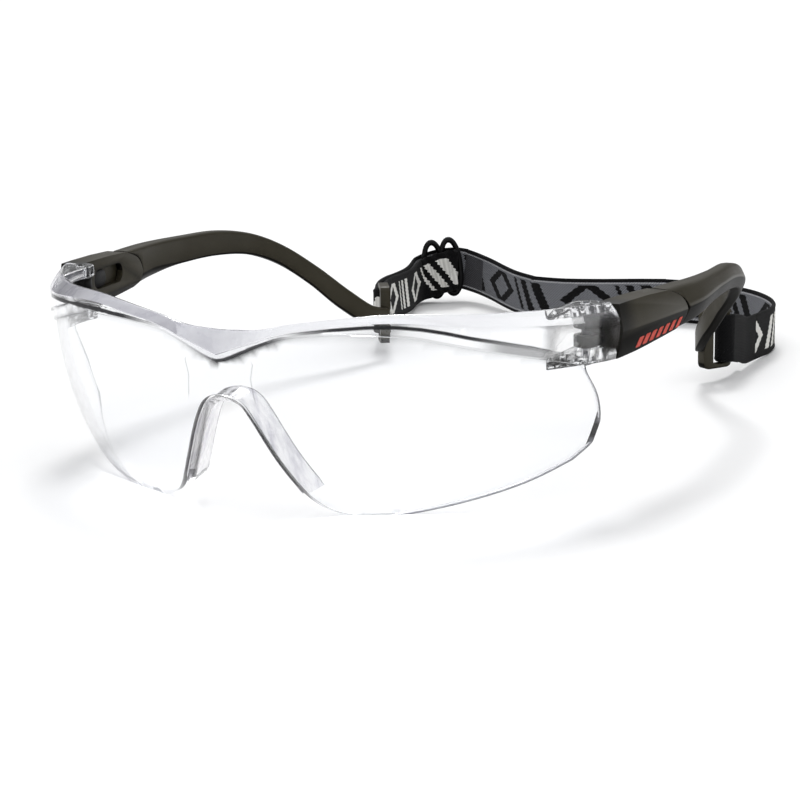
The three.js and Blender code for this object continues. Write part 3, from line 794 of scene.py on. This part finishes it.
def front_painted_refraction(signed, elevation, below_groove, below_end):
    """How dark the painted refraction makes a point of the outer face; the last two are millimetres below the
    groove and edge.
    """
    painted_refraction = 0.0
    if -1.4 * STEP_HALF < below_groove < REFRACTION_BAND_WIDTH + 0.08:
        painted_refraction = lookup(GROOVE_REFRACTION, signed)
    if -REFRACTION_BAND_WIDTH - 0.08 < below_end < 1.4 * STEP_HALF:
        painted_refraction = max(painted_refraction, lookup(EDGE_REFRACTION, signed))
    if 0 < below_groove < SHADE_WIDTH:
        painted_refraction = max(painted_refraction, BROAD_SHADE_STRENGTH * smoothstep(41, 48, signed) * smoothstep(63, 56, signed))
    if abs(elevation - lookup(STEP_LINE, signed)) * DEGREE < STEP_LINE_CORE + 0.05:
        painted_refraction = max(painted_refraction, lookup(STEP_LINE_STRENGTH, signed))
    off_bridge_line = abs(abs(signed) - lookup(BRIDGE_LINE, elevation)) * DEGREE
    if -9.3 < elevation < -3.3 and off_bridge_line < 0.04:
        painted_refraction = max(painted_refraction, BRIDGE_LINE_STRENGTH)
    return painted_refraction


def mark_front(bm):
    """Sets painted refraction, satin and painted sheen, shadow density and painted shade on the front's
    points, which are still in the design frame.
    """
    painted_refraction_layer, frost_and_sheen_layer, dense_layer, bare_layer = (
        bm.verts.layers.float.new(name) for name in ("painted_refraction", "frost_and_sheen", "dense", "bare"))
    for v in bm.verts:
        arm = v.co - LENS_CENTRE
        radius = arm.length
        elevation = math.degrees(math.asin(arm.z / radius))
        signed = math.degrees(math.atan2(arm.x, -arm.y))
        azimuth = abs(signed)
        if azimuth > 80:
            continue
        top, facet, groove, end = brow_lines(azimuth)
        depth = (top - elevation) * DEGREE
        outside = radius > LENS_RADIUS - 0.2
        # Painted refraction: dark lines along the brow's groove and lower edge, a broad shade near the +X
        # hinge and faint lines by the bridge.
        v[painted_refraction_layer] = front_painted_refraction(signed, elevation, depth - groove, depth - end) if outside else 0.0
        # The top facet is satin, partly its finish and partly a painted sheen that is stronger on the -X side,
        # and clears towards the hinges; the bridge is a little satin as a painted shade, and the lens's rim a
        # little satin, partly a cut finish and partly a painted highlight.
        hinge = v.co.y > HINGE_FRONT and v.co.z > HINGE_FOOT
        rim = LENS_INNER + 0.15 < radius < LENS_RADIUS - 0.15 and not hinge
        if radius > (HINGE_FACE if hinge else LENS_INNER + 0.25) and depth < facet + 0.05:
            fade = 0.3 * smoothstep(22, 42, azimuth) if signed < 0 else 0.8 * smoothstep(38, 56, azimuth)
            v[frost_and_sheen_layer] = (0.92 - 0.55 * smoothstep(-2, 12, signed)) * (1.0 - fade)
        elif outside and azimuth < 14 and depth < end:
            v[frost_and_sheen_layer] = 0.3 * smoothstep(14, 7, azimuth)
        elif rim and depth > end:
            v[frost_and_sheen_layer] = 0.6 * smoothstep(12, 26, azimuth)
        # The shell's end between the two ears loses most of its refraction and reflection, a painted shade
        # over the dark knuckle behind; the ears themselves stay glass.
        between_ears = smoothstep(-4.8, -3.6, elevation) * smoothstep(2.2, 1.0, elevation)
        v[bare_layer] = 0.85 * smoothstep(55, 58, azimuth) * between_ears
        v[dense_layer] = 1.0 if depth < end + 0.2 or rim else 0.0


def clear_front():
    shell = object_of(front_shell(), "front_shell")
    ears = [object_of(ear(low, high, side), "ear") for low, high in EARS for side in (1, -1)]
    joined = object_of(combine(shell, ears, "UNION"), "front_joined")
    bore = circle(PIN_X, PIN_Y, BORE_RADIUS)
    bores = [object_of(prism(bore, BORE_LOW, BORE_HIGH, side), "bore") for side in (1, -1)]
    bm = combine(joined, bores, "DIFFERENCE")
    bmesh.ops.remove_doubles(bm, verts=bm.verts, dist=0.004)
    mark_front(bm)
    for v in bm.verts:
        v.co = at(*v.co)
    piece = add("clear_front_moulding", bm, CLEAR, 21.0)
    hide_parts("clear_front")
    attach(piece, "root")


# ---- the nose saddle

SADDLE_GAP, SADDLE_THICKNESS, SADDLE_DEPTH, SADDLE_FOOT = 0.35, 1.6, 10.0, 5.4
SADDLE_SPLAY = 1.0  # the rear lip stands this much farther out than the front one


def nose_saddle():
    """A soft arch: thin rounded lips at the front and the back, with a fuller web between them."""
    line = spline(NOSE_EDGE, 60)
    tangents = [(b - a).normalized() for a, b in zip(line, [*line[2:], line[-1]])]
    half = list(zip(line, [Vector((1, 0)), *tangents]))
    half = [(p, t) for p, t in half if p.y - t.x * SADDLE_GAP > SADDLE_FOOT]
    arch = [(Vector((-p.x, p.y)), Vector((t.x, -t.y))) for p, t in half[1:]][::-1] + half
    thick = SADDLE_THICKNESS
    section = rounded([(0, 0), (thick, 0.25), (thick * 0.86, 0.5), (thick, 1), (0, 1)], 0.35, 4)
    rings = []
    for i, (p, t) in enumerate(arch):
        across = Vector((t.y, -t.x))
        pinch = 0.55 + 0.45 * smoothstep(0, 3, min(i, len(arch) - 1 - i))
        ring = []
        for depth, share in section:
            inset = SADDLE_GAP + thick / 2 + (depth - thick / 2) * pinch
            q = p + across * (inset - SADDLE_SPLAY * smoothstep(0.25, 1.0, share))
            face = LENS_RADIUS - math.sqrt(LENS_RADIUS ** 2 - q.x ** 2 - (q.y - LENS_CENTRE_Z) ** 2)
            reach = SADDLE_DEPTH * (0.5 + (share - 0.5) * (0.9 + 0.1 * pinch))
            ring.append(at(q.x, face + reach, q.y))
        rings.append(ring)
    piece = add("soft_nose_saddle", solid(rings), SOFT_CLEAR, 60.0)
    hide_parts("nose_saddle")
    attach(piece, "root")


# ---- the strap

BAR = temple_at(-30.2 + 9 * math.sin(math.radians(25.3)), 124.9 + 9 * math.cos(math.radians(25.3)), 0)
BAR_X, BAR_Y = BAR.x / MM, BAR.y / MM - SHIFT_Y
FOLD_RADIUS = 1.35 + 0.35 + STRAP_THICKNESS / 2
FOLD_HEIGHT = 11.4


def fold(side, start, stop, count=8):
    """Points of the webbing's middle around an arm's bar, from one bearing to another."""
    points = []
    for i in range(count + 1):
        bearing = math.radians(start + (stop - start) * i / count)
        points.append((side * BAR_X + FOLD_RADIUS * math.cos(bearing),
                       BAR_Y + FOLD_RADIUS * math.sin(bearing), FOLD_HEIGHT))
    return points


BAND_LEFT = [(8, 255.3, 6.6), (0, 253, 6.5), (-10.5, 248.3, 6.5), (-21, 245, 6.5), (-30, 245.2, 6.5)]
TURN_LEFT = [(-37.6, 248.9, 7), (-44, 254, 7.5), (-51, 259.8, 8.3), (-57.5, 264.3, 9), (-62.5, 265.9, 9.8)]
LOOP_LEFT = [
    (-65.6, 264.3, 10.4), (-69.2, 261.5, 10.1), (-73.5, 258.3, 8.6), (-75, 254.4, 7.6), (-73.2, 248, 7.3),
    (-69.8, 237, 7.7), (-66.6, 223.5, 8.6), (-63.2, 210, 9.8), (-58.6, 196, 10.9), *fold(-1, 170, 350),
]
RETURN_LEFT = [
    (-64.3, 262.1, 10.5), (-64.0, 260.6, 10.3), (-65.0, 259.5, 10.1), (-66.9, 257.9, 9.6), (-69.2, 256, 8.8),
    (-71.4, 252.8, 7.8), (-71, 247.4, 7.4), (-67.6, 236.4, 7.7), (-64.5, 223, 8.6), (-61.2, 209.4, 9.8),
    (-56.4, 195.6, 10.9), (-51.8, 188.6, 11.4),
]
LOOP_RIGHT = [
    (51.2, 207, 7.2), (51.5, 199, 7.8), (52.3, 192, 9.6), *fold(1, 10, -190), (50.1, 190, 10),
    (49.95, 198, 8.2),
]
BAND_RIGHT = [
    (51.2, 206.2, 7.2), (51.15, 207.3, 7.15), (51.2, 214, 6.9), (51, 222, 6.5), (49.4, 230, 6.5),
    (45.6, 238, 6.5), (38.4, 246.4, 6.5), (29, 252.4, 6.5), (18.5, 255.6, 6.5), (8.3, 255.4, 6.5),
]
RING_SPACING, TUCK_LENGTH = 0.8, 1.3


def cross_frame(route, i):
    """The directions to the left and up from a route at its point i."""
    ahead = route[min(i + 1, len(route) - 1)] - route[max(i - 1, 0)]
    tangent = ahead.to_3d().normalized()
    left = Vector((0, 0, 1)).cross(tangent).normalized()
    return left, tangent.cross(left)


def webbing_section():
    """Across the webbing: flat faces, a thicker beaded selvedge at both edges; (out, up, across, face)."""
    half = STRAP_THICKNESS / 2
    outer = []
    for i in range(25):
        across = -1 + 2 * i / 24
        bead = 0.12 * smoothstep(0.84, 0.92, abs(across))
        end = 1.0 if abs(across) < 0.999 else 0.35
        outer.append(((half * 0.88 + bead) * end, across * HALF_WIDTH, across))
    ring = [(*point, 1.0) for point in outer]
    return ring + [(-out, up, across, -1.0) for out, up, across in reversed(outer)]


def webbing(
    label, points, start=0.0, end=None, outer_side=1, tuck=(False, False), ripple=(0, 1, 0), plain=(0, 0),
):
    """One stretch of webbing along its route; gives the piece and its end's place on the strap.

    start or end is the place on the strap, in metres, of the stretch's first or last point. A tucked end is
    thinner and lies inside the next stretch. Ripple is a crumpled zone, its centre, reach and size, and plain
    the zone without a motif, both in millimetres along the route.
    """
    route = even(spline(points, 40 * len(points)), RING_SPACING)
    section = webbing_section()
    runs = runs_of(route)
    if end is not None:
        start = end - runs[-1] * MM
    ripple_centre, ripple_reach, ripple_size = ripple
    bm = bmesh.new()
    layer = bm.verts.layers.float_vector.new("weave")
    rings, marks = [], []
    for i, (p, run) in enumerate(zip(route, runs)):
        left, up = cross_frame(route, i)
        tucked = (tuck[0] and run < TUCK_LENGTH) or (tuck[1] and runs[-1] - run < TUCK_LENGTH)
        thick, high_share = (0.7, 0.97) if tucked else (1.0, 1.0)
        fade = smoothstep(ripple_reach, ripple_reach * 0.35, abs(run - ripple_centre))
        ring = []
        for out, high, across, _ in section:
            wave = ripple_size * fade * math.sin(run * 1.9 + 1.6 * math.sin(3.1 * across + 0.5))
            ring.append(at(*(p + left * (-outer_side * (out * thick + wave)) + up * high * high_share)))
        rings.append(ring)
        kind = 2.0 if plain[0] < run < plain[1] else 1.0
        marks.append([(start + run * MM, across, face * kind) for *_, across, face in section])
    for ring, row in zip(loft(bm, rings), marks):
        for vertex, mark in zip(ring, row):
            vertex[layer] = mark
    piece = add(f"strap_{label}_webbing", bm, WEBBING, 50.0)
    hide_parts(f"strap_{label}")
    return piece, start + runs[-1] * MM


def strap():
    """The strap's stretches, which overlap where they meet; the left loop moves with the left arm."""
    band_left, end = webbing("band_left", [*BAND_LEFT, (-31.6, 245.75, 6.55)], tuck=(False, True))
    turn_left, end = webbing(
        "turn_left", [(-30.4, 245.3, 6.5), *TURN_LEFT, (-64.0, 265.35, 10.1)], end - 0.0016,
        tuck=(False, True), plain=(30, 60))
    loop_left, _ = webbing("loop_left", [(-62.9, 265.8, 9.9), *LOOP_LEFT], end - 0.0012)
    return_left, _ = webbing("return_left", RETURN_LEFT, 0.1030, outer_side=-1, ripple=(6.0, 8.5, 0.62))
    band_right, _ = webbing(
        "band_right", [*BAND_RIGHT, (6.5, 254.95, 6.57)], end=20 * MOTIF_PERIOD + 0.0008, tuck=(True, True))
    loop_right, _ = webbing("loop_right", LOOP_RIGHT, 0.1035, outer_side=-1, plain=(-1, 99))
    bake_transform(band_left)
    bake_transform(turn_left)
    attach(loop_left, "left_arm")
    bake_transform(return_left)
    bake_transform(band_right)
    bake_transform(loop_right)


# ---- the strap slide

SLIDE_AT = (-67.8, 260.0, 10.8)
SLIDE_TURN, SLIDE_LEAN = math.radians(37.7), math.radians(7)
SLIDE_HEIGHT, RING_OFFSET, RING_HALF, WIRE = 19.0, 2.75, 3.35, 0.95
RING_STEPS, WIRE_STEPS = 56, 12


def slide_place(along, out, up):
    """A point of the slide's own frame: along the strap, out of its face, and up, leaning with the strap."""
    c, s = math.cos(SLIDE_TURN), math.sin(SLIDE_TURN)
    lean_c, lean_s = math.cos(SLIDE_LEAN), math.sin(SLIDE_LEAN)
    along, up = along * lean_c - up * lean_s, along * lean_s + up * lean_c
    return at(SLIDE_AT[0] + along * c - out * s, SLIDE_AT[1] + along * s + out * c, SLIDE_AT[2] + up)


def strap_slide():
    """Two tall rings of moulded wire that share the middle bar."""
    bm = bmesh.new()
    for centre in (-RING_OFFSET, RING_OFFSET):
        rings = []
        for i in range(RING_STEPS):
            angle = 2 * math.pi * i / RING_STEPS
            x = centre + (RING_HALF - WIRE * 0.5) * math.cos(angle)
            z = (SLIDE_HEIGHT / 2 - WIRE) * math.copysign(abs(math.sin(angle)) ** 0.82, math.sin(angle))
            normal = Vector((math.cos(angle), 0, math.sin(angle)))
            ring = []
            for k in range(WIRE_STEPS):
                turn = 2 * math.pi * k / WIRE_STEPS
                ring.append(slide_place(
                    x + normal.x * WIRE * math.cos(turn), WIRE * 0.9 * math.sin(turn),
                    z + normal.z * WIRE * math.cos(turn)))
            rings.append(ring)
        loft(bm, rings, closed=True)
    piece = add("figure_8_strap_slide", bm, BLACK, 60.0)
    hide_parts("strap_slide")
    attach(piece, "slide")


# ---- temples and hinges

# The arm in the temple's frame: its middle line and half its height, and the strap eye at its end.
ARM = [
    (4.4, 24, 38.15, 5.1), (4.5, 34, 38.2, 5.0), (4.5, 46, 38.5, 4.4), (2.4, 60.9, 38.9, 3.5),
    (-0.8, 76.1, 38.4, 3.25), (-4.4, 90.1, 36, 2.85), (-9.4, 100.6, 31.4, 2.6), (-16, 107.4, 25, 2.6),
    (-22.2, 112.8, 18.2, 2.8), (-27, 119, 13, 2.7), (-29.7, 126, 11, 2.6),
]
EYE = (-30.2, 124.9)
EYE_TURN = math.radians(-25.3)
EYE_LOW, EYE_HIGH, EYE_HALF_THICKNESS = 3.6, 19.6, 1.3
BAR_OFFSET, BAR_RADIUS = 9.0, 1.35
TONGUE = ((3.2, 5.7), (10, 44), (35.95, 41.65))
SLEEVE_REAR = [(32, 33.6), (35.2, 35), (36.4, 37.5), (33.8, 40.9), (27.5, 43.2)]
JOINT_GAP = 0.75


def arm_sweep():
    """The arm's body: flat inside, an upper and a lower facet outside that meet in a soft ridge."""
    line = spline(ARM, 96)
    rings = []
    for i, p in enumerate(line):
        share = i / (len(line) - 1)
        left, up = cross_frame(line, i)
        wide = 1 - 0.25 * share - 0.22 * smoothstep(0.8, 1.0, share) + 0.34 * smoothstep(62, 38, p.y)
        half = p.w
        foot = half * (0.56 + 0.44 * smoothstep(42, 64, p.y))
        section = rounded([
            (0.7 * wide, -half), (2.2 * wide, -foot), (2.2 * wide, half), (-1.0 * wide, half),
            (-2.4 * wide, 0.1 * half), (-2.4 * wide, -0.1 * half), (-1.0 * wide, -half),
        ], 1.0, 4)
        rings.append([p.to_3d() + left * a + up * b for a, b in section])
    return solid(rings)


def strap_eye():
    """The slotted plate with its round bar, at its place in the temple's frame."""
    end = BAR_OFFSET + 1.3
    outline = rounded([(0.8, EYE_LOW), (end, EYE_LOW), (end, EYE_HIGH), (0.8, EYE_HIGH)], 2.0, 6)
    slot = rounded([(4, 4.6), (end + 3, 4.6), (end + 3, 18.2), (4, 18.2)], 0.8, 3)
    plate = object_of(slab(outline, -EYE_HALF_THICKNESS, EYE_HALF_THICKNESS), "eye")
    bm = combine(plate, [object_of(slab(slot, -5, 5), "slot")], "DIFFERENCE")
    soften(bm, 0.38, 50, 3, clamp_overlap=True)
    bar = prism(circle(0, BAR_OFFSET, BAR_RADIUS), EYE_LOW + 0.4, EYE_HIGH - 0.4)
    place = Matrix.Translation((*EYE, 0)) @ Matrix.Rotation(EYE_TURN, 4, "Z")
    for part in (bm, bar):
        bmesh.ops.transform(part, matrix=place, verts=part.verts)
    return bm, bar


def telescopic_arm(label, side):
    sleeve_side = [(-5, 25), (32, 25), *spline(SLEEVE_REAR, 20), (27.5, 50), (-5, 50)]
    grown = [(y + JOINT_GAP if y > 20 else y, z) for y, z in sleeve_side]
    room = object_of(slab(grown, -15, 25), "sleeve_room")
    cut = combine(object_of(arm_sweep(), "sweep"), [room], "DIFFERENCE")
    bmesh.ops.remove_doubles(cut, verts=cut.verts, dist=0.01)
    soften(cut, 0.22, 55, 2, clamp_overlap=True)
    (x0, x1), (y0, y1), (z0, z1) = TONGUE
    tongue = slab(rounded([(y0, z0), (y1, z0), (y1, z1), (y0, z1)], 0.6, 2), x0, x1)
    soften(tongue, 0.25, 50, 3)
    bm = combine(object_of(cut, "arm"), [object_of(part, "part") for part in (tongue, *strap_eye())], "UNION")
    bmesh.ops.remove_doubles(bm, verts=bm.verts, dist=0.004)
    for v in bm.verts:
        v.co = temple_at(*v.co, side)
    piece = add(f"telescopic_arm_{label}", bm, SATIN, 36.0)
    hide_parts(f"temple_arm_{label}")
    return piece


def accent(label, side):
    """Leaning red bars printed on the sleeve's lower facet."""
    bm = bmesh.new()
    pitch, lean, tall, facet_slope = 3.3, 1.3, 2.3, 0.229
    for i in range(7):
        y = 11.4 + pitch * i
        wide = 2.3 - 0.1 * i
        low = 32.7 + 0.06 * (y - 11)
        outline = rounded([
            (y, low), (y + wide, low + 0.05), (y + wide + lean, low + tall), (y + lean, low + tall - 0.05),
        ], 0.35, 2)
        loft(bm, [
            [temple_at(7.6 - (37.6 - z) * facet_slope + proud, a, z, side) for a, z in outline]
            for proud in (-0.06, 0.045)
        ])
    piece = add(f"printed_accent_{label}", bm, RED_PRINT, 40.0)
    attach(piece, f"{label}_temple")


def temples():
    for label, side in (("left", -1), ("right", 1)):
        knuckle = refined(f"hinge_knuckle_{label}", f"forked_knuckle_{label}", BLACK, 0.25)
        sleeve = refined(f"temple_sleeve_{label}", f"hollow_sleeve_{label}", SATIN, 0.55, 20.0, 3)
        arm = telescopic_arm(label, side)
        catch = refined(f"length_catch_{label}", f"catch_button_{label}", BLACK, 0.2)
        for piece, body, slot_name in (
            (knuckle, "temple", "black_plastic"), (sleeve, "temple", "satin_black"),
            (arm, "arm", "satin_black"), (catch, "catch", "black_plastic"),
        ):
            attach(piece, f"{label}_{body}")
        accent(label, side)
        pin = refined(f"hinge_pin_{label}", f"steel_pin_{label}", STEEL, 0.15, 50.0)
        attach(pin, "root")


# ---- the stage


def stage():
    bpy.ops.mesh.primitive_plane_add(size=6.0, location=(0, 0, 0))
    floor = bpy.context.object
    floor.name = "studio_floor"
    n = material_nodes("studio_floor")
    tone = n.ramp(n.noise(3.0, 3.0), 0.90, 0.92)
    colour = n.new("ShaderNodeCombineColor")
    for socket in colour.inputs:
        n.link(tone, socket)
    floor.data.materials.append(n.finish(n.shader(Base_Color=colour.outputs[0], Roughness=0.9)))

    key = bpy.data.lights.new("key_from_behind", "SUN")
    key.energy = 1.25
    key.angle = math.radians(15)
    lamp = new_object("key_from_behind", key)
    lamp.rotation_euler = Vector((0.35, -0.75, -1.1)).to_track_quat("-Z", "Y").to_euler()
    studio_world()
    scene = bpy.context.scene
    scene.view_settings.view_transform = "Standard"
    scene.cycles.max_bounces = 20
    scene.cycles.transmission_bounces = 18
    scene.cycles.transparent_max_bounces = 16


def studio_world():
    """A white ceiling over grey walls, with a pale backdrop where the eye looks straight at it."""
    n = Nodes(bpy.data.worlds.new("studio"))
    direction = n.split(n.new("ShaderNodeTexCoord").outputs["Generated"])
    by_height = n.new("ShaderNodeValToRGB")
    stops = by_height.color_ramp
    stops.interpolation = "EASE"
    stops.elements.remove(stops.elements[1])
    for position, value in ((0.0, 0.16), (0.18, 0.2), (0.42, 0.78), (1.0, 1.12)):
        stops.elements.new(position).color = (value * 0.985, value * 0.99, value, 1)
    n.link(direction["Z"], by_height.inputs[0])
    # Two black flags at the sides draw the dark outlines of the clear plastic.
    aside = n.ramp(n.math("ABSOLUTE", direction["X"]), 0.0, 1.0, 0.72, 0.84, True)
    low = n.ramp(direction["Z"], 0.0, 1.0, 0.34, 0.22, True)
    walls = n.mix(n.times(aside, low), by_height.outputs[0], (0.08, 0.08, 0.08, 1))
    seen = n.mix(n.new("ShaderNodeLightPath").outputs["Is Camera Ray"], walls, (1.0, 1.0, 1.0, 1))
    background = n.new("ShaderNodeBackground")
    n.link(seen, background.inputs["Color"])
    bpy.context.scene.world = n.finish(background.outputs[0], "ShaderNodeOutputWorld")


VIEW_AZIMUTH, VIEW_ELEVATION, VIEW_ROLL = math.radians(25.87), math.radians(12.32), math.radians(-0.59)
VIEW_DISTANCE, VIEW_LENS, VIEW_SENSOR = 600.0, 117.8, 36.0  # millimetres
VIEW_TARGET = (16.57, 54.53, 17.14)


def camera():
    back = Vector((
        math.sin(VIEW_AZIMUTH) * math.cos(VIEW_ELEVATION),
        -math.cos(VIEW_AZIMUTH) * math.cos(VIEW_ELEVATION),
        math.sin(VIEW_ELEVATION),
    ))
    data = bpy.data.cameras.new("camera")
    data.sensor_width, data.lens = VIEW_SENSOR, VIEW_LENS
    data.clip_start, data.clip_end = 0.02, 20.0
    eye = new_object("camera", data)
    eye.location = at(*VIEW_TARGET) + back * VIEW_DISTANCE * MM
    look = (-back).to_track_quat("-Z", "Y").to_matrix()
    eye.rotation_euler = (look @ Matrix.Rotation(VIEW_ROLL, 3, "Z")).to_euler()
    bpy.context.scene.camera = eye


camera()
stage()
clear_front()
nose_saddle()
temples()
strap()
strap_slide()
